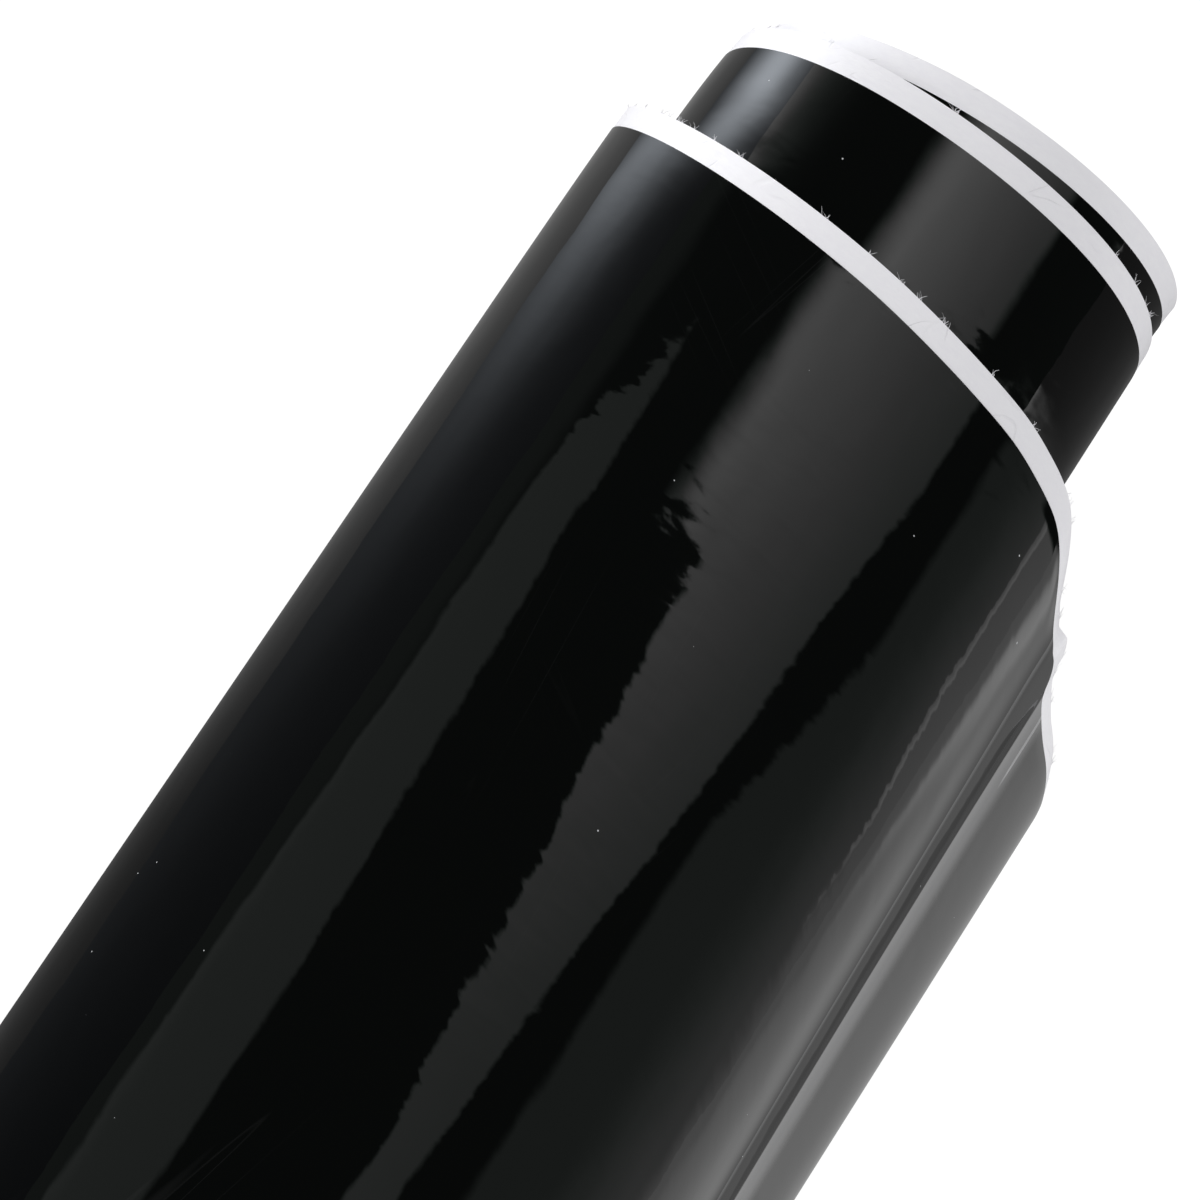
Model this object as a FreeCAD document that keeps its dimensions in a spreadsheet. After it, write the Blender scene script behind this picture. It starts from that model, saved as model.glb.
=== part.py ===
import FreeCAD, Part

# Loosely wound roll of gloss sign vinyl on its paper release liner, around a cardboard core.
#
# The roll lies on its side. +X runs along the core, +Z is up, and the origin is the middle of the
# core's bore. One strip of vinyl, adhesive and liner is wound from the core outwards, film side
# out: over the top from +Y to -Y. Its outer turns have sprung open and telescoped towards -X.
# The strip flexes, so it is drawn as five rigid sections: the tight coil, the loose turn around
# it, the outer wrap that rests on the table, the free end, and the film edge that peels off.

import math
import os

import Sketcher
from FreeCAD import Vector

OUT_DIR = "parts"
SHEET_NAME = "Sizes"

# Driving dimensions, in millimetres and degrees.
SIZES = {
    "core_bore_radius": 38.1,
    "core_wall": 3.9,
    "core_chamfer": 0.6,
    "film_width": 305.0,
    "liner_margin": 5.0,
    "film_thickness": 0.08,
    "adhesive_thickness": 0.03,
    "liner_thickness": 0.15,
    "layer_gap": 0.01,
    "tape_thickness": 0.08,
    "tape_length": 280.0,
    "tape_angle": 35.0,
    "coil_turns": 8.0,
    "coil_pitch": 0.75,
    "section_slit": 0.3,
    "loose_turn_radius": 48.7,
    "loose_turn_growth": 0.7,
    "loose_turn_run": 8.65,
    "lower_bend_radius": 42.0,
    "lower_bend_angle": 50.0,
    "table_flat": 18.3,
    "wrap_side_radius": 52.0,
    "wrap_top_radius": 66.0,
    "wrap_top_run": 3.0,
    "shoulder_radius": 72.0,
    "shoulder_turn": 25.0,
    "first_lobe_radius": 25.0,
    "first_lobe_angle": 42.0,
    "brow_radius": 6.0,
    "brow_angle": 28.0,
    "valley_radius": 5.0,
    "valley_angle": 75.0,
    "second_lobe_radius": 37.0,
    "second_lobe_angle": 45.0,
    "tuck_radius": 50.0,
    "tuck_angle": 48.0,
    "peel_angle": 28.0,
    "loose_turn_drift": 7.4,
    "loose_turn_skew": 4.4,
    "outer_wrap_drift": 44.0,
    "outer_wrap_skew": 14.3,
    "free_end_skew": 45.0,
    "free_end_hinge_y": -38.0,
    "free_end_full_drift_y": -73.0,
}

BOTTOM_HEADING = 0.0    # the strip runs towards +Y as it passes under the core
QUARTER = 90.0
HALF = 180.0
TRIM_REACH = 400.0      # how far the end-trimming outlines reach past the sheet
TOLERANCE = 0.01

# How a sketch constraint names points: a circle's centre, and the origin's own point.
CENTRE_POINT = 3
ORIGIN = -1
START_POINT = 1


# ---------------------------------------------------------------- document and sheet

def make_sheet(doc):
    """Spreadsheet that holds every driving dimension under its own alias."""
    sheet = doc.addObject("Spreadsheet::Sheet", SHEET_NAME)
    for row, (alias, value) in enumerate(SIZES.items(), start=1):
        sheet.set(f"A{row}", alias)
        sheet.set(f"B{row}", str(value))
        sheet.setAlias(f"B{row}", alias)
    doc.recompute()
    return sheet


def origin_plane(body, role):
    """The body's own origin plane with this role."""
    for feature in body.Origin.OriginFeatures:
        if feature.Role == role:
            return feature
    raise ValueError("no origin plane " + role)


def new_body(doc, label):
    """An empty body whose label names its file."""
    body = doc.addObject("PartDesign::Body", label)
    body.Label = label
    body.Placement = FreeCAD.Placement()
    return body


def new_sketch(body, name, role):
    """A sketch on one of the body's origin planes."""
    sketch = body.newObject("Sketcher::SketchObject", name)
    sketch.AttachmentSupport = [(origin_plane(body, role), "")]
    sketch.MapMode = "FlatFace"
    return sketch


def new_pad(body, sketch, length_expression):
    """A pad of equal length on both sides of the sketch, bound to the sheet."""
    pad = body.newObject("PartDesign::Pad", "Pad")
    pad.Profile = sketch
    pad.Midplane = True
    pad.setExpression("Length", length_expression)
    body.Tip = pad
    return pad


# ---------------------------------------------------------------- the strip's path

class Stroke:
    """One arc or straight of the strip's outer face, seen along +X (first axis Y, second Z).

    A stroke turns left when radius is positive and right when it is negative; a straight has
    radius None and amount is then its length, otherwise amount is its angle in degrees.
    """

    def __init__(self, start, heading, radius, amount):
        self.start = start
        self.heading = heading
        self.radius = radius
        self.amount = amount

    def length(self):
        if self.radius is None:
            return self.amount
        return abs(self.radius) * math.radians(self.amount)

    def turned(self, share):
        """The heading after this share of the stroke."""
        if self.radius is None:
            return self.heading
        return self.heading + math.copysign(self.amount * share, self.radius)

    def centre(self):
        angle = math.radians(self.heading)
        left = Vector(-math.sin(angle), math.cos(angle), 0)
        return self.start + left * self.radius

    def point(self, share, offset):
        """The point at this share of the stroke, offset towards the strip's outer side."""
        angle = math.radians(self.turned(share))
        outward = Vector(math.sin(angle), -math.cos(angle), 0)
        if self.radius is None:
            along = Vector(math.cos(angle), math.sin(angle), 0)
            return self.start + along * self.amount * share + outward * offset
        return self.centre() + outward * (self.radius + offset)

    def part(self, first, last):
        """The stretch of this stroke between two shares of it."""
        return Stroke(
            self.point(first, 0),
            self.turned(first),
            self.radius,
            self.amount * (last - first),
        )

    def edge(self, offset):
        """The stroke's curve, offset towards the strip's outer side."""
        begin = self.point(0, offset)
        end = self.point(1, offset)
        if self.radius is None:
            return Part.LineSegment(begin, end)
        return Part.Arc(begin, self.point(0.5, offset), end)


def follow(start, heading, steps):
    """Strokes laid end to end, each tangent to the one before."""
    strokes = []
    for radius, amount in steps:
        stroke = Stroke(start, heading, radius, amount)
        strokes.append(stroke)
        start = stroke.point(1, 0)
        heading = stroke.turned(1)
    return strokes


def shorten(strokes, front, back):
    """The same strokes with a length taken off the first and the last."""
    kept = list(strokes)
    if front:
        kept[0] = kept[0].part(front / kept[0].length(), 1)
    if back:
        kept[-1] = kept[-1].part(0, 1 - back / kept[-1].length())
    return kept


def strip_thickness(sheet):
    return sheet.film_thickness + sheet.adhesive_thickness + sheet.liner_thickness + 2 * sheet.layer_gap


def coil_steps(sheet):
    """Half turns whose radius grows by half a pitch each, which keeps the turns evenly apart."""
    first_radius = coil_start_radius(sheet)
    count = int(2 * sheet.coil_turns)
    return [(first_radius + index * sheet.coil_pitch / 2, HALF) for index in range(count)]


def coil_start_radius(sheet):
    """Outer face of the first turn, just clear of the starter tape."""
    core_radius = sheet.core_bore_radius + sheet.core_wall
    return core_radius + sheet.tape_thickness + 2 * sheet.layer_gap + strip_thickness(sheet)


def loose_turn_steps(sheet):
    """One turn that touches the coil on its +Y side, bulges on -Y and leaves at the bottom."""
    quarters = [(sheet.loose_turn_radius + count * sheet.loose_turn_growth, QUARTER) for count in range(3)]
    return quarters + [(None, sheet.loose_turn_run), (sheet.lower_bend_radius, sheet.lower_bend_angle)]


def outer_wrap_steps(sheet):
    """Down to the table, flat across it, and loosely over the top to the -Y shoulder."""
    return [
        (sheet.lower_bend_radius, QUARTER - sheet.lower_bend_angle),
        (None, sheet.table_flat),
        (sheet.wrap_side_radius, QUARTER),
        (sheet.wrap_top_radius, QUARTER),
        (None, sheet.wrap_top_run),
        (sheet.shoulder_radius, sheet.shoulder_turn),
    ]


def free_end_steps(sheet):
    """First lobe, the buckled valley under it, and the second lobe down to the peel line."""
    return [
        (sheet.shoulder_radius, sheet.shoulder_turn),
        (sheet.first_lobe_radius, sheet.first_lobe_angle),
        (sheet.brow_radius, sheet.brow_angle),
        (-sheet.valley_radius, sheet.valley_angle),
        (sheet.second_lobe_radius, sheet.second_lobe_angle),
        (sheet.tuck_radius, sheet.tuck_angle - sheet.peel_angle),
    ]


def peeled_edge_steps(sheet):
    """The last stretch of the strip, where the film lifts off its liner."""
    return [(sheet.tuck_radius, sheet.peel_angle)]


def strip_path(sheet):
    """The whole strip as lists of strokes, one list for each section."""
    start = Vector(0, -coil_start_radius(sheet), 0)
    heading = BOTTOM_HEADING
    sections = {}
    steps_of = {
        "coil": coil_steps(sheet),
        "loose_turn": loose_turn_steps(sheet),
        "outer_wrap": outer_wrap_steps(sheet),
        "free_end": free_end_steps(sheet),
        "peeled_edge": peeled_edge_steps(sheet),
    }
    for name, steps in steps_of.items():
        strokes = follow(start, heading, steps)
        sections[name] = strokes
        start = strokes[-1].point(1, 0)
        heading = strokes[-1].turned(1)
    return sections


# ---------------------------------------------------------------- how far each edge has drifted

def straight_drift(drift, skew):
    """Drift of a section whose rim lies in one tilted plane, as points along Y."""
    slope = math.tan(math.radians(skew))
    return [(side, slope * side - drift) for side in (-TRIM_REACH, TRIM_REACH)]


def loose_turn_drift(sheet):
    return straight_drift(sheet.loose_turn_drift, sheet.loose_turn_skew)


def outer_wrap_drift(sheet):
    return straight_drift(sheet.outer_wrap_drift, sheet.outer_wrap_skew)


def free_end_drift(sheet):
    """Drift that grows quickly over the shoulder and stays level on the tucked-under end."""
    hinge_y = sheet.free_end_hinge_y
    full_y = sheet.free_end_full_drift_y
    slope = math.tan(math.radians(sheet.free_end_skew))
    wrap_slope = math.tan(math.radians(sheet.outer_wrap_skew))
    at_hinge = wrap_slope * hinge_y - sheet.outer_wrap_drift
    at_full = at_hinge + slope * (full_y - hinge_y)
    at_top = at_hinge + slope * (TRIM_REACH - hinge_y)
    return [(-TRIM_REACH, at_full), (full_y, at_full), (TRIM_REACH, at_top)]


# ---------------------------------------------------------------- sub-parts

def add_loop(sketch, points):
    """A closed outline of straight lines."""
    corners = [Vector(x, y, 0) for x, y in points]
    for index, corner in enumerate(corners):
        sketch.addGeometry(Part.LineSegment(corner, corners[(index + 1) % len(corners)]), False)


def trim_rims(doc, body, half_width, drift):
    """Cuts both rims of a sheet along its drift line, seen from above."""
    before = body.Shape.Volume
    sketch = new_sketch(body, "RimTrim", "XY_Plane")
    for side in (1, -1):
        rim = [(x + side * half_width, y) for y, x in drift]
        far = side * 2 * TRIM_REACH
        add_loop(sketch, rim + [(far, rim[-1][1]), (far, rim[0][1])])
    pocket = body.newObject("PartDesign::Pocket", "RimCut")
    pocket.Profile = sketch
    pocket.Type = "ThroughAll"
    pocket.Midplane = True
    body.Tip = pocket
    doc.recompute()
    if not 0 < body.Shape.Volume < before:
        raise RuntimeError(body.Label + ": trimming its rims removed nothing")


def layer_offsets(sheet, layer):
    """How far the layer's outer and inner faces lie below the strip's outer face."""
    film = sheet.film_thickness
    adhesive = film + sheet.layer_gap + sheet.adhesive_thickness
    liner = adhesive + sheet.layer_gap + sheet.liner_thickness
    return {
        "film": (0, -film),
        "adhesive": (-film - sheet.layer_gap, -adhesive),
        "liner": (-adhesive - sheet.layer_gap, -liner),
    }[layer]


def sheet_layer(doc, sheet, section, layer, strokes, drift=None):
    """One layer of one section: its outline swept along X, its rims trimmed to the drift."""
    body = new_body(doc, f"{section}_{layer}")
    outline = new_sketch(body, "Outline", "YZ_Plane")
    outer, inner = layer_offsets(sheet, layer)
    for stroke in strokes:
        outline.addGeometry(stroke.edge(outer), False)
        outline.addGeometry(stroke.edge(inner), False)
    first, last = strokes[0], strokes[-1]
    outline.addGeometry(Part.LineSegment(first.point(0, outer), first.point(0, inner)), False)
    outline.addGeometry(Part.LineSegment(last.point(1, outer), last.point(1, inner)), False)
    width = f"{SHEET_NAME}.film_width"
    half_width = sheet.film_width / 2
    if layer == "liner":
        width += f" + 2 * {SHEET_NAME}.liner_margin"
        half_width += sheet.liner_margin
    if drift:
        new_pad(body, outline, f"{width} + {TRIM_REACH}")
        doc.recompute()
        trim_rims(doc, body, half_width, drift)
    else:
        new_pad(body, outline, width)
    return body


def core_tube(doc, sheet):
    """Spiral-wound cardboard tube with its outer rims eased."""
    body = new_body(doc, "core_tube")
    sketch = new_sketch(body, "Ring", "YZ_Plane")
    bore = sheet.core_bore_radius
    outside = bore + sheet.core_wall
    rings = (
        ("bore", bore, f"{SHEET_NAME}.core_bore_radius"),
        ("outside", outside, f"{SHEET_NAME}.core_bore_radius + {SHEET_NAME}.core_wall"),
    )
    for name, radius, expression in rings:
        ring = Part.Circle(Vector(0, 0, 0), Vector(0, 0, 1), radius)
        circle = sketch.addGeometry(ring, False)
        sketch.addConstraint(Sketcher.Constraint("Coincident", circle, CENTRE_POINT, ORIGIN, START_POINT))
        size = sketch.addConstraint(Sketcher.Constraint("Radius", circle, radius))
        sketch.renameConstraint(size, name)
        sketch.setExpression("Constraints." + name, expression)
    pad = new_pad(body, sketch, f"{SHEET_NAME}.film_width + 2 * {SHEET_NAME}.liner_margin")
    doc.recompute()
    rims = []
    for number, edge in enumerate(pad.Shape.Edges, start=1):
        if getattr(edge.Curve, "Radius", 0) > outside - TOLERANCE:
            rims.append(f"Edge{number}")
    chamfer = body.newObject("PartDesign::Chamfer", "RimEase")
    chamfer.Base = (pad, rims)
    chamfer.setExpression("Size", f"{SHEET_NAME}.core_chamfer")
    body.Tip = chamfer
    return body


def starter_tape(doc, sheet):
    """Double-sided tape that holds the strip's inner end on the core."""
    body = new_body(doc, "starter_tape")
    sketch = new_sketch(body, "Patch", "YZ_Plane")
    inner = sheet.core_bore_radius + sheet.core_wall + sheet.layer_gap
    outer = inner + sheet.tape_thickness
    start = Vector(0, -outer, 0)
    patch = Stroke(start, BOTTOM_HEADING, outer, sheet.tape_angle)
    sketch.addGeometry(patch.edge(0), False)
    sketch.addGeometry(patch.edge(inner - outer), False)
    for share in (0, 1):
        sketch.addGeometry(Part.LineSegment(patch.point(share, 0), patch.point(share, inner - outer)), False)
    new_pad(body, sketch, f"{SHEET_NAME}.tape_length")
    return body


def wound_strip(doc, sheet):
    """All layers of all sections of the strip, parted by narrow slits where bodies move."""
    path = strip_path(sheet)
    slit = sheet.section_slit / 2
    end_drift = free_end_drift(sheet)
    coil = shorten(path["coil"], 0, slit)
    loose_turn = shorten(path["loose_turn"], slit, slit)
    outer_wrap = shorten(path["outer_wrap"], slit, slit)
    free_end = shorten(path["free_end"], slit, slit)
    peeled_edge = shorten(path["peeled_edge"], slit, 0)
    end_liner = shorten(path["free_end"], slit, 0) + path["peeled_edge"]
    bodies = []
    for layer in ("liner", "adhesive", "film"):
        bodies.append(sheet_layer(doc, sheet, "coil", layer, coil))
        bodies.append(sheet_layer(doc, sheet, "loose_turn", layer, loose_turn, loose_turn_drift(sheet)))
        bodies.append(sheet_layer(doc, sheet, "outer_wrap", layer, outer_wrap, outer_wrap_drift(sheet)))
        end_strokes = end_liner if layer == "liner" else free_end
        bodies.append(sheet_layer(doc, sheet, "free_end", layer, end_strokes, end_drift))
    for layer in ("adhesive", "film"):
        bodies.append(sheet_layer(doc, sheet, "peeled_edge", layer, peeled_edge, end_drift))
    return bodies


# ---------------------------------------------------------------- checking and writing

def check_document(doc, bodies):
    """Stops before anything is written if an object failed or a shape is not sound."""
    for item in doc.Objects:
        if "Invalid" in item.State or "Error" in item.State:
            raise RuntimeError(item.Name + " failed: " + str(item.State))
    for body in bodies:
        if body.Shape.isNull() or not body.Shape.isValid():
            raise RuntimeError(body.Label + " has no valid shape")
        if len(body.Shape.Solids) != 1:
            raise RuntimeError(body.Label + " is not one solid")


def main():
    doc = FreeCAD.newDocument("vinyl_roll")
    sheet = make_sheet(doc)
    bodies = [core_tube(doc, sheet), starter_tape(doc, sheet)] + wound_strip(doc, sheet)
    doc.recompute()
    check_document(doc, bodies)
    os.makedirs(OUT_DIR, exist_ok=True)
    for body in bodies:
        body.Shape.exportStep(os.path.join(OUT_DIR, body.Label + ".step"))
        print(body.Label, round(body.Shape.Volume, 1))


main()
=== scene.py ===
"""Looks of a loosely wound roll of gloss black sign vinyl on its white release liner.

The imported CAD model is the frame. The strip's layers are rebuilt as fine curved sheets that follow
the same winding, and ride on the CAD bodies. Lengths are in millimetres until a mesh is made.
"""

import math

import bpy
import numpy as np
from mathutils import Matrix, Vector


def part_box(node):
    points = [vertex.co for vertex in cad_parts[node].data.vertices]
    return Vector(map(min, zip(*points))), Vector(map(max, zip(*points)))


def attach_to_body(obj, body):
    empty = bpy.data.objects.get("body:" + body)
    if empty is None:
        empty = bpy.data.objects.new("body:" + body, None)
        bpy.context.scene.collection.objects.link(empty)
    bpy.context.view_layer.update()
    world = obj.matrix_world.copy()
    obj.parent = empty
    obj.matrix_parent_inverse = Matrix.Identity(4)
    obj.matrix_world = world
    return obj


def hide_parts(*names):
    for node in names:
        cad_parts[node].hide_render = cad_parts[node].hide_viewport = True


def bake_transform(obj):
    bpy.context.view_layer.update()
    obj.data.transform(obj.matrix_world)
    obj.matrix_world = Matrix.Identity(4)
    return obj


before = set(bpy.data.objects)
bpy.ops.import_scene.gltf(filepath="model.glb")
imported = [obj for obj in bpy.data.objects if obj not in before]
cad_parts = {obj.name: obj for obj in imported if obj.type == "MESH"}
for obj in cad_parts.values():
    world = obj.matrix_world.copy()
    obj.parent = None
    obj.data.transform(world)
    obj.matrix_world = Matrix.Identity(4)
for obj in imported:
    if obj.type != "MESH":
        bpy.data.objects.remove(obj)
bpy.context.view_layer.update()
RNG = np.random.default_rng(12)

MM = 0.001

# Sizes and places taken from the frame.
TAPE_TO_FACE = 0.29             # from the starter tape's outer face to the face of the first turn
FIRST_RADIUS = -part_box("starter_tape")[0].z / MM + TAPE_TO_FACE
COIL_RADIUS = -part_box("coil_film")[0].z / MM
FILM_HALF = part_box("coil_film")[1].x / MM
LINER_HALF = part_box("coil_liner")[1].x / MM
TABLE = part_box("outer_wrap_film")[0].z / MM

COIL_TURNS = 8

# Places of each layer's outer and inner face from the strip's outer face; inwards is negative.
FILM_DEPTH = (0.0, -0.12)       # the film and its adhesive
LINER_DEPTH = (-0.13, -0.28)

# Strokes of the strip outside the coil: radius (None for a straight), degrees or length, and
# skew, which is how far the strip's edge drifts towards -X for each millimetre wound.
LOOSE_TURN = [
    (51.9, 90.0, 0.045),
    (45.5, 75.0, 0.045),
    (60.0, 40.0, 0.055),
    (47.0, 65.0, 0.050),
    (None, 9.8, 0.06),
    (42.5, 90.0, 0.070),
    (None, 16.4, 0.11),
]
OUTER_WRAP = [
    (52.0, 90.0, 0.097),
    (66.2, 90.0, 0.177),
    (None, 3.0, 0.195),
    (72.5, 26.0, 0.21),
    (72.5, 12.0, 0.36),
]
FREE_END = [
    (64.0, 3.0, 0.70),
    (64.0, 10.0, 1.00),
    (64.0, 3.5, 0.50),
    (64.0, 13.5, 0.12),
    (83.0, 8.0, 0.75),
    (83.0, 13.0, 0.42),
    (66.0, 22.0, 0.05),
]
PEELED_EDGE = [(50.0, 25.0, 0.05)]

# The coil's rims weave a little from turn to turn, as two waves with different counts per turn,
# and its last turn stands back at the top.
COIL_STEP_BACK = 1.1
COIL_WEAVE = 0.22
SLOW_WEAVE, QUICK_WEAVE = 0.37, 0.83

# How far changes of bend and of skew are smoothed along the strip.
BEND_SOFTNESS = 5.0
SKEW_SOFTNESS = 3.0
BUCKLE_SOFTNESS = 1.0

# ---------------------------------------------------------------- the strip's line


class Strip:
    """The strip's outer face as a finely sampled line across the core, from the core outwards."""

    STEP = 0.25

    def __init__(self):
        pitch = (COIL_RADIUS - FIRST_RADIUS) / COIL_TURNS
        coil = [(FIRST_RADIUS + half * pitch / 2, 180.0, 0.0) for half in range(2 * COIL_TURNS)]
        curvature, skew, self.ends = [], [], {}
        for name, strokes in (
            ("coil", coil),
            ("loose_turn", LOOSE_TURN),
            ("outer_wrap", OUTER_WRAP),
            ("free_end", FREE_END),
            ("peeled_edge", PEELED_EDGE),
        ):
            for radius, amount, drift in strokes:
                length = amount if radius is None else radius * math.radians(amount)
                count = max(2, round(length / self.STEP))
                bend = 0.0 if radius is None else math.radians(amount) / (count * self.STEP)
                curvature += [bend] * count
                skew += [drift] * count
            self.ends[name] = len(curvature) * self.STEP
        self.along = np.arange(len(curvature)) * self.STEP
        self.curvature = smooth(np.array(curvature), BEND_SOFTNESS / self.STEP)
        self.heading = np.cumsum(self.curvature) * self.STEP
        self.drift = -np.cumsum(smooth(np.array(skew), SKEW_SOFTNESS / self.STEP)) * self.STEP
        self.drift -= self.coil_drift()
        self.across = np.cumsum(np.cos(self.heading)) * self.STEP
        self.up = np.cumsum(np.sin(self.heading)) * self.STEP - FIRST_RADIUS

    def coil_drift(self):
        """Drift within the coil, which comes back to nothing at its end."""
        share = np.clip(self.along / self.ends["coil"], 0, 1)
        back = COIL_STEP_BACK * share**4 * (1 - np.cos(self.heading)) / 2
        waves = np.sin(SLOW_WEAVE * self.heading) + 0.7 * np.sin(QUICK_WEAVE * self.heading + 1.0)
        return np.where(share < 1, back + COIL_WEAVE * waves * (1 - share**6), 0)

    def at(self, along):
        """Heading, drift and place across the core at these distances along the strip."""
        pick = [self.heading, self.drift, self.across, self.up]
        return [np.interp(along, self.along, values) for values in pick]


def smooth(values, sigma):
    """Values blurred by a bell curve, with the ends held."""
    reach = int(4 * sigma)
    bell = np.exp(-0.5 * (np.arange(-reach, reach + 1) / sigma) ** 2)
    padded = np.pad(values, reach, mode="edge")
    return np.convolve(padded, bell / bell.sum(), mode="valid")


STRIP = Strip()
END = STRIP.along[-1]
CREASE_START = STRIP.ends["outer_wrap"]

# The buckle over the -Y shoulder: change of heading in degrees at distances from its start, and
# the distance over which it fades along the roll.
CREASE_REACH = 220.0
CREASE = [
    (-2.0, 0.0), (19.0, 13.5), (21.5, 19.5), (37.0, 10.0),
    (40.5, -19.0), (50.0, -23.0), (57.0, -14.0), (75.0, 0.0),
]


def crease_heading(along):
    """How far the buckle turns the strip at full strength, in radians."""
    places, turns = zip(*CREASE)
    fine = np.arange(-20.0, 80.0, STRIP.STEP)
    soft = smooth(np.interp(fine, places, turns), BUCKLE_SOFTNESS / STRIP.STEP)
    return np.radians(np.interp(along - CREASE_START, fine, soft, left=0.0, right=0.0))


def crease_strength(width):
    """The buckle is sharp at the strip's +X rim and fades along the roll."""
    from_rim = FILM_HALF - width
    return np.exp(-(np.maximum(from_rim, 0) / CREASE_REACH) ** 2)


def crease_shift(along, width):
    """Turn of the strip, and its shift across and up, that the buckle adds at each row and column."""
    lead = 12.0
    fine = np.arange(CREASE_START - lead, END + STRIP.STEP, STRIP.STEP)
    heading = STRIP.at(fine)[0][:, None]
    turn = crease_heading(fine)[:, None] * crease_strength(width)[None, :]
    shift_y = np.cumsum(np.cos(heading + turn) - np.cos(heading), 0) * STRIP.STEP
    shift_z = np.cumsum(np.sin(heading + turn) - np.sin(heading), 0) * STRIP.STEP
    place = np.clip((along - fine[0]) / STRIP.STEP, 0, len(fine) - 1.001)
    low = place.astype(int)
    share = (place - low)[:, None]
    return [grid[low] * (1 - share) + grid[low + 1] * share for grid in (turn, shift_y, shift_z)]


# How far both rims of a turn curl inwards, at distances from the loose turn's start, and how far
# the bare liner margin leans in beyond that, at distances from the buckle's start.
MARGIN = round(LINER_HALF - FILM_HALF, 3)
LIP = 8.0                       # width of the part that leans
CURL_REACH = 14.0               # distance from the rim over which the curl fades
RIM_CURL = [
    (-150.0, 0.0), (-76.0, -1.2), (-30.0, 0.0), (30.0, 0.0), (75.0, 1.6),
    (120.0, 0.6), (230.0, 0.0), (385.0, 0.45), (480.0, 0.0),
]
MARGIN_LEAN = [
    (-6.0, 0.0), (2.0, 0.5), (9.0, 1.1), (16.0, 1.8), (24.0, 1.9),
    (27.0, 0.0), (34.0, 0.0), (40.0, 0.8), (48.0, 1.6), (64.0, 1.8),
]


def rim_offset(along, width):
    """How far the sheet lies inside its line, at each row and column."""
    beyond = np.abs(width) - FILM_HALF
    curl = np.interp(along - STRIP.ends["coil"], *zip(*RIM_CURL))
    lean = np.interp(along - CREASE_START, *zip(*MARGIN_LEAN))
    lip = (np.clip(beyond + (LIP - MARGIN), 0.0, LIP) / LIP) ** 2
    fade = np.exp(np.minimum(beyond, MARGIN) / CURL_REACH)
    return curl[:, None] * fade[None, :] + lean[:, None] * lip[None, :]


def sheet_points(along, width, depth):
    """Points of a sheet: rows along the strip, columns across its width, this far from its face."""
    heading, drift, across, up = STRIP.at(along)
    turn, shift_y, shift_z = crease_shift(along, width)
    angle = heading[:, None] + turn
    inset = depth - rim_offset(along, width)
    y = across[:, None] + shift_y + np.sin(angle) * inset
    z = up[:, None] + shift_z - np.cos(angle) * inset
    x = width[None, :] + drift[:, None] + 0 * y
    return np.stack([x, y, z], -1)


# ---------------------------------------------------------------- meshes


def mesh_object(name, points, quads, uvs, material_index, materials):
    """A mesh from arrays of points in millimetres, quads, corner UVs and material indices."""
    mesh = bpy.data.meshes.new(name)
    mesh.vertices.add(len(points))
    mesh.vertices.foreach_set("co", (points * MM).astype(np.float32).ravel())
    mesh.loops.add(quads.size)
    mesh.loops.foreach_set("vertex_index", quads.astype(np.int32).ravel())
    mesh.polygons.add(len(quads))
    mesh.polygons.foreach_set("loop_start", np.arange(0, quads.size, 4, dtype=np.int32))
    mesh.polygons.foreach_set("loop_total", np.full(len(quads), 4, np.int32))
    mesh.polygons.foreach_set("material_index", material_index.astype(np.int32))
    mesh.polygons.foreach_set("use_smooth", np.ones(len(quads), bool))
    layer = mesh.uv_layers.new(name="strip")
    layer.data.foreach_set("uv", (uvs * MM).astype(np.float32).ravel())
    for material in materials:
        mesh.materials.append(material)
    mesh.update(calc_edges=True)
    mesh.validate()
    obj = bpy.data.objects.new(name, mesh)
    bpy.context.scene.collection.objects.link(obj)
    return obj


def strip_piece(name, start, end, grid, half_width, depths, materials):
    """A closed thin sheet between two distances along the strip: outer face, inner face and rims."""
    step, columns = grid
    rows = max(3, int((end - start) / step) + 1)
    along = np.linspace(start, end, rows)
    width = rim_spacing(half_width, columns)
    outer = sheet_points(along, width, depths[0]).reshape(-1, 3)
    inner = sheet_points(along, width, depths[1]).reshape(-1, 3)
    far = rows * columns
    index = np.arange(far).reshape(rows, columns)
    a, b, c, d = index[:-1, :-1], index[:-1, 1:], index[1:, 1:], index[1:, :-1]
    face = np.stack([a, b, c, d], -1).reshape(-1, 4)
    back = face[:, ::-1] + far
    border = np.concatenate([index[0, :], index[1:, -1], index[-1, -2::-1], index[-2:0:-1, 0]])
    following = np.roll(border, -1)
    wall = np.stack([border, border + far, following + far, following], -1)
    quads = np.concatenate([face[:, ::-1], back[:, ::-1], wall])
    uv_grid = np.stack(np.meshgrid(along, width, indexing="ij"), -1).reshape(-1, 2)[:, ::-1]
    uvs = np.concatenate([uv_grid, uv_grid])[quads].reshape(-1, 2)
    kinds = np.concatenate([np.zeros(len(face)), np.ones(len(back)), np.full(len(wall), 2)])
    obj = mesh_object(name, np.concatenate([outer, inner]), quads, uvs, kinds, materials)
    sharpen_rims(obj.data, border, far)
    return obj


def rim_spacing(half_width, columns):
    """Columns across the width, closer together near both rims."""
    crowding = 0.9
    even = np.linspace(-1, 1, columns)
    return half_width * np.sin(even * math.pi / 2 * crowding) / math.sin(math.pi / 2 * crowding)


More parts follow.
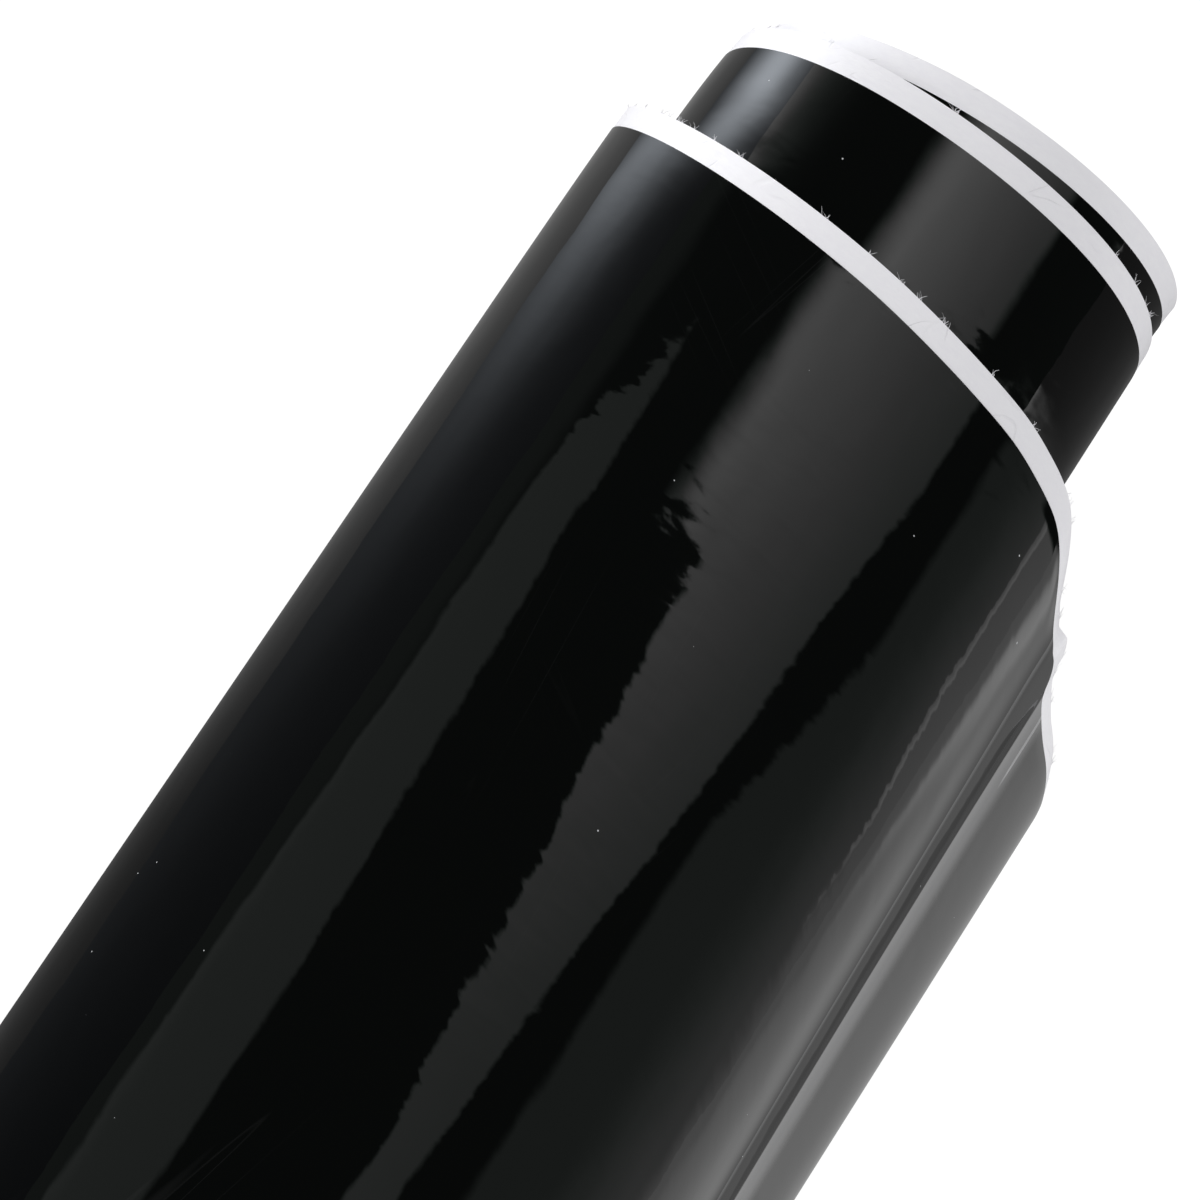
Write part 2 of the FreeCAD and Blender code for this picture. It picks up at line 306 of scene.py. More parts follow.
def sharpen_rims(mesh, border, far):
    """Marks the edges where the sheet's faces meet its cut rims as sharp."""
    on_border = np.zeros(len(mesh.vertices), bool)
    on_border[border] = True
    on_border[border + far] = True
    ends = np.zeros(len(mesh.edges) * 2, np.int32)
    mesh.edges.foreach_get("vertices", ends)
    ends = ends.reshape(-1, 2)
    same_side = (ends[:, 0] < far) == (ends[:, 1] < far)
    sharp = on_border[ends[:, 0]] & on_border[ends[:, 1]] & same_side
    attribute = mesh.attributes.new("sharp_edge", "BOOLEAN", "EDGE")
    attribute.data.foreach_set("value", sharp)


# Paper fibres on the liner's cut rims.
FIBRE_SECTIONS, FIBRE_SIDES = 5, 4
FIBRE_LENGTH = (0.4, 1.3)
FIBRE_RADIUS = (0.045, 0.085)
FIBRE_TAPER = 0.65
FIBRE_LEAN, FIBRE_BEND, FIBRE_RISE = 0.7, 0.6, 0.4      # spreads, as shares of a fibre's length
FIBRE_INSET = 0.05              # how far inside the rim a fibre starts
FIBRES_PER_TUFT = 4
TUFT_SPREAD = 0.5


def fibre_root(along, side):
    """Where a fibre leaves the cut rim, and unit directions along the strip and out of the rim."""
    rim = np.array([side * (LINER_HALF - FIBRE_INSET)])
    middle_of_liner = -0.2
    root, ahead = sheet_points(np.array([along, along + 0.5]), rim, middle_of_liner)[:, 0]
    forward = (ahead - root) / np.linalg.norm(ahead - root)
    return root, forward, np.array([side * 1.0, 0.0, 0.0])


def fibre_points(root, forward, outward):
    """Rings of points along one bent, tapered fibre that curls away from the roll."""
    share = np.linspace(0.0, 1.0, FIBRE_SECTIONS)
    turn = np.arange(FIBRE_SIDES) * (2 * math.pi / FIBRE_SIDES)
    lift = np.cross(forward, outward)
    away = lift * np.sign(lift @ root)
    length = RNG.uniform(*FIBRE_LENGTH)
    lean = RNG.normal(0, FIBRE_LEAN)
    bend = RNG.normal(0, FIBRE_BEND)
    rise = abs(RNG.normal(0, FIBRE_RISE))
    spine = root + length * (
        share[:, None] * outward
        + (lean * share + bend * share**2)[:, None] * forward
        + (rise * share**2)[:, None] * away
    )
    thick = RNG.uniform(*FIBRE_RADIUS) * (1 - FIBRE_TAPER * share)
    ring = np.cos(turn)[:, None] * forward + np.sin(turn)[:, None] * lift
    return (spine[:, None, :] + thick[:, None, None] * ring[None]).reshape(-1, 3)


def paper_fuzz(name, start, end, count, side, material):
    """Loose paper fibres in small tufts on the liner's cut rim, as one mesh."""
    tufts = RNG.uniform(start, end, max(1, count // FIBRES_PER_TUFT))
    one_fibre = np.arange(FIBRE_SECTIONS * FIBRE_SIDES).reshape(FIBRE_SECTIONS, FIBRE_SIDES)
    points, quads = [], []
    for number in range(count):
        along = tufts[number % len(tufts)] + RNG.normal(0, TUFT_SPREAD)
        along = np.clip(along, start + 1.0, end - 1.0)
        points.append(fibre_points(*fibre_root(along, side)))
        grid = one_fibre + number * one_fibre.size
        around = np.roll(grid, -1, axis=1)
        quads.append(np.stack([grid[:-1], around[:-1], around[1:], grid[1:]], -1).reshape(-1, 4))
        quads.append(np.array([grid[0, ::-1], grid[-1]]))
    points, quads = np.concatenate(points), np.concatenate(quads)
    uvs = points[quads][:, :, :2].reshape(-1, 2)
    return mesh_object(name, points, quads, uvs, np.zeros(len(quads)), [material])


# ---------------------------------------------------------------- shader helpers


class Shader:
    """A node tree with short calls for the nodes the materials use."""

    def __init__(self, tree):
        self.tree = tree
        self.tree.nodes.clear()

    def node(self, kind, inputs=(), **settings):
        made = self.tree.nodes.new(kind)
        for key, value in settings.items():
            setattr(made, key, value)
        for key, value in dict(inputs).items():
            self.feed(made.inputs[key], value)
        return made

    def feed(self, socket, value):
        if isinstance(value, bpy.types.NodeSocket):
            self.tree.links.new(value, socket)
        else:
            socket.default_value = value

    def math(self, operation, a, b=0.0):
        made = self.tree.nodes.new("ShaderNodeMath")
        made.operation = operation
        for socket, value in zip(made.inputs, (a, b)):
            self.feed(socket, value)
        return made.outputs[0]

    def add(self, a, b):
        return self.math("ADD", a, b)

    def sub(self, a, b):
        return self.math("SUBTRACT", a, b)

    def times(self, *values):
        """Product of several values."""
        product = values[0]
        for value in values[1:]:
            product = self.math("MULTIPLY", product, value)
        return product

    def exp(self, value):
        return self.math("POWER", math.e, value)

    def parts(self, vector):
        """The three parts of a vector."""
        return self.node("ShaderNodeSeparateXYZ", {"Vector": vector}).outputs

    def strip_place(self):
        """Place on the strip in metres: across its width, then along it."""
        return self.node("ShaderNodeUVMap", uv_map="strip").outputs[0]

    def step(self, value, low, high):
        """0 below low, 1 above high, smooth between; low may be greater than high."""
        return self.node(
            "ShaderNodeMapRange",
            {"Value": value, "From Min": low, "From Max": high, "To Min": 0.0, "To Max": 1.0},
            interpolation_type="SMOOTHSTEP",
        ).outputs["Result"]

    def ramp(self, value, from_low, from_high, to_low, to_high):
        """Straight change from to_low to to_high, held beyond both ends."""
        return self.node(
            "ShaderNodeMapRange",
            {
                "Value": value,
                "From Min": from_low,
                "From Max": from_high,
                "To Min": to_low,
                "To Max": to_high,
            },
        ).outputs["Result"]

    def noise(self, vector, scale, detail=2.0, roughness=0.5, stretch=(1, 1, 1), distortion=0.0):
        """Noise from 0 to 1, this many waves to the metre; a stretch below 1 draws it out that way."""
        moved = self.node("ShaderNodeMapping", {"Vector": vector, "Scale": stretch})
        return self.node(
            "ShaderNodeTexNoise",
            {
                "Vector": moved.outputs[0],
                "Scale": scale,
                "Detail": detail,
                "Roughness": roughness,
                "Distortion": distortion,
            },
        ).outputs["Fac"]

    def mix_color(self, share, a, b):
        made = self.node("ShaderNodeMix", data_type="RGBA")
        self.feed(made.inputs["Factor"], share)
        self.feed(made.inputs[6], a)
        self.feed(made.inputs[7], b)
        return made.outputs[2]

    def bump(self, height, distance):
        inputs = {"Height": height, "Distance": distance, "Strength": 1.0}
        return self.node("ShaderNodeBump", inputs).outputs[0]

    def mix_shader(self, share, a, b):
        return self.node("ShaderNodeMixShader", {0: share, 1: a, 2: b}).outputs[0]

    def surface(self, shader):
        out = self.node("ShaderNodeOutputMaterial")
        self.tree.links.new(shader, out.inputs["Surface"])


def new_material(name):
    material = bpy.data.materials.new(name)
    material.use_nodes = True
    return material, Shader(material.node_tree)


# ---------------------------------------------------------------- materials

# Colours, as linear red, green, blue and alpha.
FILM_BLACK = (0.0005, 0.0006, 0.0006, 1)
# The worn film colour below is also the colour of the painted highlights along the buckle.
WORN_FILM_AND_HIGHLIGHT = (0.30, 0.30, 0.305, 1)
DUST = (0.55, 0.56, 0.58, 1)
EDGE_DARK, EDGE_PALE = (0.006, 0.006, 0.007, 1), (0.03, 0.03, 0.034, 1)
BACK_DARK, BACK_PALE = (0.26, 0.26, 0.265, 1), (0.34, 0.34, 0.345, 1)
PAPER_DARK, PAPER_PALE = (0.80, 0.79, 0.835, 1), (0.86, 0.855, 0.885, 1)
PAPER_FIBRE = (0.85, 0.845, 0.875, 1)
PAPER_CREASE = (0.52, 0.51, 0.55, 1)
BOARD_DARK, BOARD_PALE = (0.30, 0.205, 0.115, 1), (0.38, 0.27, 0.16, 1)
BOARD_FLECK = (0.46, 0.34, 0.21, 1)
BOARD_PLY = (0.20, 0.135, 0.075, 1)
BOARD_SEAM = (0.13, 0.085, 0.045, 1)
TAPE_DARK, TAPE_PALE = (0.62, 0.57, 0.42, 1), (0.74, 0.70, 0.56, 1)

# The core board's winding, in metres.
SEAM_PITCH = 0.11
PLY_THICKNESS = 0.00056

# Places of the buckle's painted highlights and painted shade, in millimetres along the strip from the
# buckle's start: the fine ridge line at the +X rim and at mid width, the fold, and the bright tip at the
# fold's rim end.
RIDGE_AT_RIM, RIDGE_AT_MIDDLE = 17.8, 28.2
FOLD_START, FOLD_END = 37.4, 45.0
FOLD_TIP = (41.6, 42.2)


def film_gloss():
    """Black calendered vinyl: mirror gloss over a faint orange peel, with scratches and dust."""
    scratch_white, worn_roughness = 0.022, 0.3
    material, sh = new_material("film_gloss")
    strip = sh.strip_place()
    normal = orange_peel(sh, strip)
    # Painted highlights along the buckle go into the base colour, and painted shade on its slope takes
    # away the coat there.
    white, painted_shade = buckle_highlight_and_shade(sh, strip)
    hairs = sh.times(scratches(sh, strip), scratch_white)
    # Scratches are real; the buckle's painted highlights share their pale colour and rougher coat.
    marks_and_highlight = sh.math("MAXIMUM", hairs, white)
    color = sh.mix_color(marks_and_highlight, FILM_BLACK, WORN_FILM_AND_HIGHLIGHT)
    dust = specks(sh, strip)
    color = sh.mix_color(dust, color, DUST)
    marks_and_highlight = sh.math("MAXIMUM", marks_and_highlight, dust)
    haze = sh.noise(strip, 18.0, 3.0, 0.6)
    rough = sh.ramp(haze, 0.3, 0.7, 0.018, 0.035)
    base = sh.node(
        "ShaderNodeBsdfPrincipled",
        {
            "Base Color": color,
            "Roughness": 0.42,
            "Specular IOR Level": 0.0,
            "Normal": normal,
            # Painted shade on the buckle's slope: the coat is taken away there.
            "Coat Weight": sh.sub(1.0, painted_shade),
            "Coat Roughness": sh.add(rough, sh.times(marks_and_highlight, worn_roughness)),
            "Coat IOR": 1.5,
            "Coat Normal": normal,
        },
    )
    sh.surface(base.outputs[0])
    return material


def orange_peel(sh, strip):
    """Slow waves along the roll, short ripples across them, and a very fine grain."""
    relief, ripple_share, grain_share = 0.00013, 0.18, 0.012
    waves = sh.noise(strip, 95.0, 1.0, 0.4, (0.5, 1.0, 1.0), 0.2)
    ripples = sh.noise(strip, 260.0, 1.0, 0.4, (1.0, 0.42, 1.0), 0.3)
    grain = sh.noise(strip, 700.0, 1.0, 0.5)
    height = sh.add(waves, sh.times(ripples, ripple_share))
    height = sh.add(height, sh.times(grain, grain_share))
    return sh.bump(height, relief)


def buckle_highlight_and_shade(sh, strip):
    """Painted highlights and painted shade along the buckle: painted highlights on the fine ridge line,
    on the fold and at the fold's rim tip, and painted shade on the slope between ridge and fold.
    """
    ridge_highlight, fold_highlight, tip_highlight, slope_shade = 0.26, 0.42, 1.6, 0.62
    width, along, _ = sh.parts(strip)
    place = sh.sub(sh.times(along, 1 / MM), CREASE_START)
    # Painted highlight: a thin line along the buckle's ridge.
    ridge = sh.ramp(width, 0.145, 0.0, RIDGE_AT_RIM, RIDGE_AT_MIDDLE)
    line_start = sh.step(place, sh.sub(ridge, 0.2), ridge)
    line_end = sh.step(place, sh.add(ridge, 2.2), sh.add(ridge, 0.1))
    line = sh.times(line_start, line_end)
    # Painted highlight over the fold, sharp at its start and fading towards its end.
    fold_start = sh.step(place, FOLD_START, FOLD_START + 0.8)
    fold_end = sh.step(place, FOLD_END, FOLD_END - 3.8)
    fold = sh.times(fold_start, fold_end)
    # Painted highlight: a bright tip at the fold's rim end.
    tip = sh.times(band(sh, place, *FOLD_TIP, 0.2), sh.step(width, 0.132, 0.146))
    # Painted shade: the slope between the ridge and the fold.
    slope = sh.step(place, sh.sub(ridge, 7.0), sh.add(ridge, 1.0))
    slope = sh.times(slope, sh.step(place, FOLD_START + 1.0, FOLD_START))
    fade = sh.step(width, -0.12, 0.0)
    white = sh.math("MAXIMUM", sh.times(line, ridge_highlight), sh.times(fold, fold_highlight))
    white = sh.math("MAXIMUM", white, sh.times(tip, tip_highlight))
    return sh.times(white, fade), sh.times(slope, sh.times(fade, slope_shade))


def hairlines(sh, field, fineness):
    """Thin lines where a noise field crosses its middle value."""
    offset = sh.math("ABSOLUTE", sh.sub(field, 0.5))
    return sh.math("MAXIMUM", sh.sub(1.0, sh.times(offset, fineness)), 0.0)


def scratches(sh, strip):
    """A few long hairlines, most of them near the direction of the roll's axis."""
    turns_and_densities = ((0.10, 9.0), (-0.25, 13.0), (1.1, 7.0))
    total = None
    for turn, density in turns_and_densities:
        turned = sh.node("ShaderNodeMapping", {"Vector": strip, "Rotation": (0, 0, turn)}).outputs[0]
        thin = hairlines(sh, sh.noise(turned, density, 1.0, 0.5, (0.25, 14.0, 1.0)), 240.0)
        broken = sh.step(sh.noise(turned, density * 1.5, 2.0), 0.58, 0.75)
        line = sh.times(thin, broken)
        total = line if total is None else sh.math("MAXIMUM", total, line)
    return total


def specks(sh, strip):
    """Sparse specks of dust about a quarter of a millimetre across."""
    cells_per_metre, radius, core, rarity = 260.0, 0.050, 0.030, 0.91
    cells = sh.node("ShaderNodeTexVoronoi", {"Vector": strip, "Scale": cells_per_metre}, feature="F1")
    near = sh.step(cells.outputs["Distance"], radius, core)
    chance = sh.node("ShaderNodeSeparateColor", {"Color": cells.outputs["Color"]}).outputs[0]
    return sh.times(near, sh.step(chance, rarity, rarity + 0.01))


def film_edge():
    """The film's cut rim."""
    material, sh = new_material("film_edge")
    place = sh.node("ShaderNodeTexCoord").outputs["Object"]
    grain = sh.noise(place, 900.0, 3.0)
    color = sh.mix_color(grain, EDGE_DARK, EDGE_PALE)
    base = sh.node("ShaderNodeBsdfPrincipled", {"Base Color": color, "Roughness": 0.5})
    sh.surface(base.outputs[0])
    return material


def adhesive_back():
    """Clear adhesive over the grey back of the film."""
    relief = 0.00004
    material, sh = new_material("adhesive_back")
    strip = sh.strip_place()
    mottle = sh.noise(strip, 240.0, 4.0, 0.6)
    color = sh.mix_color(mottle, BACK_DARK, BACK_PALE)
    normal = sh.bump(mottle, relief)
    base = sh.node(
        "ShaderNodeBsdfPrincipled",
        {
            "Base Color": color,
            "Roughness": 0.32,
            "Normal": normal,
            "Coat Weight": 0.5,
            "Coat Roughness": 0.2,
        },
    )
    sh.surface(base.outputs[0])
    return material


def liner_paper(name, gloss):
    """White release paper with a faint lilac cast, paper fibres and fine crescent creases."""
    crease_tint, crease_depth, relief = 0.10, 1.6, 0.00005
    material, sh = new_material(name)
    strip = sh.strip_place()
    cloud = sh.noise(strip, 60.0, 4.0, 0.6)
    fibre = sh.noise(strip, 900.0, 4.0, 0.7, (1.0, 0.35, 1.0))
    crease = paper_creases(sh, strip)
    tone = sh.mix_color(cloud, PAPER_DARK, PAPER_PALE)
    color = sh.mix_color(sh.step(fibre, 0.35, 0.65), tone, PAPER_FIBRE)
    color = sh.mix_color(sh.times(crease, crease_tint), color, PAPER_CREASE)
    height = sh.add(fibre, sh.times(cloud, 2.0))
    normal = sh.bump(sh.sub(height, sh.times(crease, crease_depth)), relief)
    base = sh.node(
        "ShaderNodeBsdfPrincipled",
        {
            "Base Color": color,
            "Roughness": 0.5,
            "Normal": normal,
            "Coat Weight": gloss,
            "Coat Roughness": 0.28,
        },
    )
    sh.surface(base.outputs[0])
    return material


def paper_creases(sh, strip):
    """Fine curved handling creases, a few millimetres long, here and there."""
    turned = sh.node("ShaderNodeMapping", {"Vector": strip, "Rotation": (0, 0, 0.5)}).outputs[0]
    thin = hairlines(sh, sh.noise(turned, 120.0, 1.0, 0.5, (1.0, 0.45, 1.0), 0.6), 60.0)
    return sh.times(thin, sh.step(sh.noise(turned, 90.0, 1.0), 0.50, 0.62))


def core_board():
    """Brown spiral-wound board: helical seams on its faces, stacked plies on its ends."""
    relief, fibre_height, seam_depth, ply_height = 0.00012, 0.5, 2.0, 0.4
    material, sh = new_material("core_board")
    place = sh.node("ShaderNodeTexCoord").outputs["Object"]
    x, y, z = sh.parts(place)
    radius = sh.math("SQRT", sh.add(sh.times(y, y), sh.times(z, z)))
    angle = sh.math("DIVIDE", sh.math("ARCTAN2", z, y), 2 * math.pi)
    winding = sh.math("FRACT", sh.add(sh.math("DIVIDE", x, SEAM_PITCH), angle))
    seam = sh.step(sh.math("ABSOLUTE", sh.sub(winding, 0.5)), 0.006, 0.0)
    plies = sh.math("SINE", sh.times(radius, 2 * math.pi / PLY_THICKNESS))
    fibre = sh.noise(place, 420.0, 5.0, 0.7)
    cloud = sh.noise(place, 35.0, 3.0, 0.5)
    tone = sh.mix_color(cloud, BOARD_DARK, BOARD_PALE)
    flecked = sh.mix_color(sh.step(fibre, 0.5, 0.75), tone, BOARD_FLECK)
    ply_tone = sh.mix_color(sh.step(plies, -0.4, 0.6), BOARD_PLY, flecked)
    facing = sh.node("ShaderNodeNewGeometry").outputs["Normal"]
    end_face = sh.step(sh.math("ABSOLUTE", sh.parts(facing)[0]), 0.5, 0.9)
    color = sh.mix_color(end_face, flecked, ply_tone)
    color = sh.mix_color(sh.times(seam, 0.7), color, BOARD_SEAM)
    height = sh.sub(sh.times(fibre, fibre_height), sh.times(seam, seam_depth))
    height = sh.add(height, sh.times(sh.times(plies, end_face), ply_height))
    base = sh.node(
        "ShaderNodeBsdfPrincipled",
        {"Base Color": color, "Roughness": 0.82, "Normal": sh.bump(height, relief)},
    )
    sh.surface(base.outputs[0])
    return material


def tape_cloth():
    """Pale double-sided tape."""
    relief = 0.00003
    material, sh = new_material("starter_tape")
    place = sh.node("ShaderNodeTexCoord").outputs["Object"]
    weave = sh.noise(place, 1500.0, 2.0)
    color = sh.mix_color(weave, TAPE_DARK, TAPE_PALE)
    base = sh.node(
        "ShaderNodeBsdfPrincipled",
        {"Base Color": color, "Roughness": 0.45, "Normal": sh.bump(weave, relief)},
    )
    sh.surface(base.outputs[0])
    return material


# ---------------------------------------------------------------- building the roll

# Distances along the strip where one visible sheet ends and the next starts.
COIL_END = STRIP.ends["coil"]
LOOSE_RADIUS = 49.0
LOOSE_END = COIL_END + 3 * math.pi / 2 * LOOSE_RADIUS
WRAP_START = STRIP.ends["loose_turn"] + 20.0
TUCK = STRIP.ends["free_end"] - 26.0

# Grids of the sheets: millimetres per row along the strip, and columns across its width.
COIL_GRID = (1.6, 60)
LOOSE_GRID = (0.8, 130)
UNDER_GRID = (1.0, 100)
WRAP_GRID = (0.7, 180)

# Visible sheets: name, start, end, grid, bodies, and the CAD nodes that the sheet stands for.
SHEETS = (
    ("film_coil", 0.0, COIL_END, COIL_GRID, ("coil",), ("coil_film", "coil_adhesive")),
    ("liner_coil", 0.0, COIL_END, COIL_GRID, ("coil",), ("coil_liner",)),
    ("film_loose_turn", COIL_END, LOOSE_END, LOOSE_GRID, ("loose_turn",),
     ("loose_turn_film", "loose_turn_adhesive")),
    ("liner_loose_turn", COIL_END, LOOSE_END, LOOSE_GRID, ("loose_turn",), ("loose_turn_liner",)),
    ("film_under_turn", LOOSE_END, WRAP_START, UNDER_GRID, ("loose_turn", "outer_wrap"), ()),
    ("liner_under_turn", LOOSE_END, WRAP_START, UNDER_GRID, ("loose_turn", "outer_wrap"), ()),
    ("film_outer_wrap", WRAP_START, TUCK, WRAP_GRID, ("outer_wrap", "free_end"),
     ("outer_wrap_film", "outer_wrap_adhesive", "free_end_film", "free_end_adhesive")),
    ("liner_outer_wrap", WRAP_START, END, WRAP_GRID, ("outer_wrap", "free_end"),
     ("outer_wrap_liner", "free_end_liner")),
    ("film_peeled_edge", TUCK, END, WRAP_GRID, ("free_end", "peeled_edge"),
     ("peeled_edge_film", "peeled_edge_adhesive")),
)

# Fibres on the cut rims: name, start, end, count and bodies.
FUZZ = (
    ("fuzz_loose_turn", COIL_END + 5.0, LOOSE_END, 90, ("loose_turn",)),
    ("fuzz_outer_wrap", WRAP_START, END - 5.0, 150, ("outer_wrap", "free_end")),
)


def attach(obj, bodies):
    """The piece rides on its one body; a piece that spans two bodies keeps its place baked into its mesh
    and rides on neither.
    """
    if len(bodies) == 1:
        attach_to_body(obj, bodies[0])
    else:
        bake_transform(obj)


def build_sheets(film_parts, liner_parts):
    """Film and liner of every section of the strip."""
    for name, start, end, grid, bodies, nodes in SHEETS:
        if name.startswith("film"):
            half, depths, parts, slot = FILM_HALF, FILM_DEPTH, film_parts, "film"
        else:
            half, depths, parts, slot = LINER_HALF, LINER_DEPTH, liner_parts, "liner_paper"
        obj = strip_piece(name, start, end, grid, half, depths, parts)
        attach(obj, bodies)
        if nodes:
            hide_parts(*nodes)


def build_fuzz(material):
    """Fibres on both rims of the loose turn and of the outer wrap."""
    for name, start, end, count, bodies in FUZZ:
        for side, place in ((1, "near"), (-1, "far")):
            obj = paper_fuzz(name + "_" + place, start, end, count, side, material)
            attach(obj, bodies)


def build_strip():
    """The whole strip, with the release side of its liner glossier than the back."""
    film_parts = [film_gloss(), adhesive_back(), film_edge()]
    paper = liner_paper("liner_release_side", 0.35)
    back = liner_paper("liner_back", 0.05)
    build_sheets(film_parts, [paper, back, back])
    build_fuzz(back)


def dress_cad_nodes():
    """Materials for the CAD nodes that are shown as they are."""
    for node, material in (("core_tube", core_board()), ("starter_tape", tape_cloth())):
        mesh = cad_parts[node].data
        mesh.materials.clear()
        mesh.materials.append(material)


# ---------------------------------------------------------------- studio

# The gloss mirrors the studio. x is how far a mirrored direction leans along the roll, towards +X,
# and angle is how far round the roll it points: degrees from straight up, towards +Y.
ROOM_GLOW = 0.05                # what the dark parts of the studio still give
DIM_TINT, BRIGHT_TINT = (0.90, 1.03, 0.96, 1), (1.0, 1.0, 1.0, 1)
WHITE = (1.0, 1.0, 1.0, 1)
COOL_WHITE = (0.86, 0.92, 1.0, 1)


def band(sh, angle, low, high, soft):
    """1 between two values, with edges this soft."""
    up = sh.step(angle, sh.sub(low, soft), sh.add(low, soft))
    down = sh.step(angle, sh.add(high, soft), sh.sub(high, soft))
    return sh.times(up, down)


def side_panel(sh, x, angle):
    """Dim panel high on the +Y side, which narrows towards +X."""
    strength, softness = 0.24, 1.2
    low = sh.ramp(x, 0.02, 0.24, 40.0, 50.0)
    narrowing = sh.times(sh.step(x, 0.19, 0.25), 18.0)
    high = sh.sub(sh.ramp(x, 0.02, 0.20, 70.0, 66.0), narrowing)
    return sh.times(band(sh, angle, low, high, softness), strength)


def main_panel(sh, x, angle):
    """Bright panel overhead, which widens and brightens towards +X and towards +Y."""
    nearer = sh.step(x, 0.180, 0.205)
    nearest = sh.step(x, 0.281, 0.289)
    shift = 20.0
    high = sh.add(sh.ramp(x, 0.0, 0.16, -6.0, 6.0), sh.times(nearer, 15.0))
    high = sh.sub(high, sh.times(nearest, shift))
    low = sh.sub(sh.ramp(x, 0.0, 0.24, -18.0, -33.5), sh.times(nearest, shift))
    slope = sh.ramp(x, 0.022, 0.237, 0.010, 0.028)
    level = sh.exp(sh.times(sh.add(angle, 8.0), slope))
    level = sh.times(level, sh.ramp(x, 0.022, 0.237, 0.36, 0.68))
    level = sh.times(level, sh.add(1.0, sh.times(nearest, 1.3)))
    upper_soft = sh.add(sh.add(0.8, sh.times(nearer, 5.4)), sh.times(nearest, 1.8))
    down = sh.step(angle, sh.add(high, upper_soft), sh.sub(high, upper_soft))
    lower_soft = sh.add(1.0, sh.times(nearest, 2.5))
    up = sh.step(angle, sh.sub(low, lower_soft), sh.add(low, lower_soft))
    return sh.times(up, down, level)


def low_panel(sh, x, angle):
    """Room low on the -Y side: it brightens towards the horizon, past a thin bright line."""
    dim_level, rise_level, beyond_level, line_level = 0.17, 0.33, 0.40, 0.7
    start = sh.ramp(x, 0.12, 0.19, -32.0, -46.0)
    dim = sh.times(sh.step(angle, start, sh.sub(start, 4.0)), dim_level)
    rise = sh.times(sh.step(angle, -52.0, -80.0), rise_level)
    line = sh.ramp(x, 0.05, 0.21, -88.0, -76.0)
    crisp = sh.step(x, 0.11, 0.16)
    soft = sh.sub(6.0, sh.times(crisp, 5.3))
    beyond = sh.times(sh.step(angle, sh.add(line, soft), sh.sub(line, soft)), beyond_level)
    half = sh.add(0.5, sh.times(crisp, 0.9))
    bright = sh.times(band(sh, angle, sh.sub(line, half), sh.add(line, half), 0.5), crisp, line_level)
    total = sh.add(sh.add(dim, rise), sh.add(beyond, bright))
    return sh.times(total, sh.step(x, 0.278, 0.256))


def card_panel(sh, x, angle):
    """Glow on the +Y side: faint everywhere, and bright where the glow card reaches up at the +X end."""
    faint, bright = 0.07, 1.5
    left_glow = sh.times(sh.step(angle, 64.0, 72.0), faint)
    fading = sh.exp(sh.times(sh.sub(angle, 74.0), 0.13))
    at_end = sh.step(x, 0.285, 0.325)
    card_top = sh.times(sh.math("MINIMUM", fading, 1.0), at_end, sh.step(angle, 30.0, 50.0), bright)
    return sh.add(left_glow, card_top)


def studio_world():
    """Even white light, with long panels and dark gaps along the roll for the gloss to mirror."""
    lit_level, seen_level = 0.78, 1.0
    world = bpy.data.worlds.new("studio")
    bpy.context.scene.world = world
    world.use_nodes = True
    sh = Shader(world.node_tree)
    toward = sh.node("ShaderNodeTexCoord").outputs["Generated"]
    x, y, z = sh.parts(toward)
    angle = sh.times(sh.math("ARCTAN2", y, z), 180 / math.pi)

    panels = sh.add(side_panel(sh, x, angle), main_panel(sh, x, angle))
    side_glow = card_panel(sh, x, angle)
    glow = sh.add(panels, sh.add(low_panel(sh, x, angle), side_glow))
    glow = sh.add(glow, ROOM_GLOW)
    tint = sh.mix_color(sh.step(glow, 0.1, 0.7), DIM_TINT, BRIGHT_TINT)
    path = sh.node("ShaderNodeLightPath")
    mirrored = sh.node("ShaderNodeBackground", {"Color": tint, "Strength": glow})
    level = sh.ramp(path.outputs["Is Camera Ray"], 0.0, 1.0, lit_level, seen_level)
    even = sh.node("ShaderNodeBackground", {"Color": WHITE, "Strength": level})
    mix = sh.mix_shader(path.outputs["Is Glossy Ray"], even.outputs[0], mirrored.outputs[0])
    out = sh.node("ShaderNodeOutputWorld")
    sh.tree.links.new(mix, out.inputs["Surface"])


def floor_mirrored(sh, x, y):
    """How bright the gloss mirrors the floor: bright only on -Y, and dim past the roll's +X end."""
    reach = sh.add(x, sh.times(y, 0.3))
    streak = sh.times(sh.step(x, 0.075, 0.15), sh.step(y, -0.24, -0.34), sh.step(y, -0.9, -0.45))
    level = sh.add(sh.times(sh.step(y, -0.03, -0.20), 1.3), streak)
    level = sh.sub(level, sh.times(sh.step(y, -0.4, -1.2), 0.3))
    dim = sh.add(0.11, sh.times(sh.step(y, 0.0, 0.08), sh.ramp(x, -0.03, 0.16, -0.02, 0.19)))
    return sh.add(sh.times(level, sh.step(reach, 0.11, 0.07)), dim)


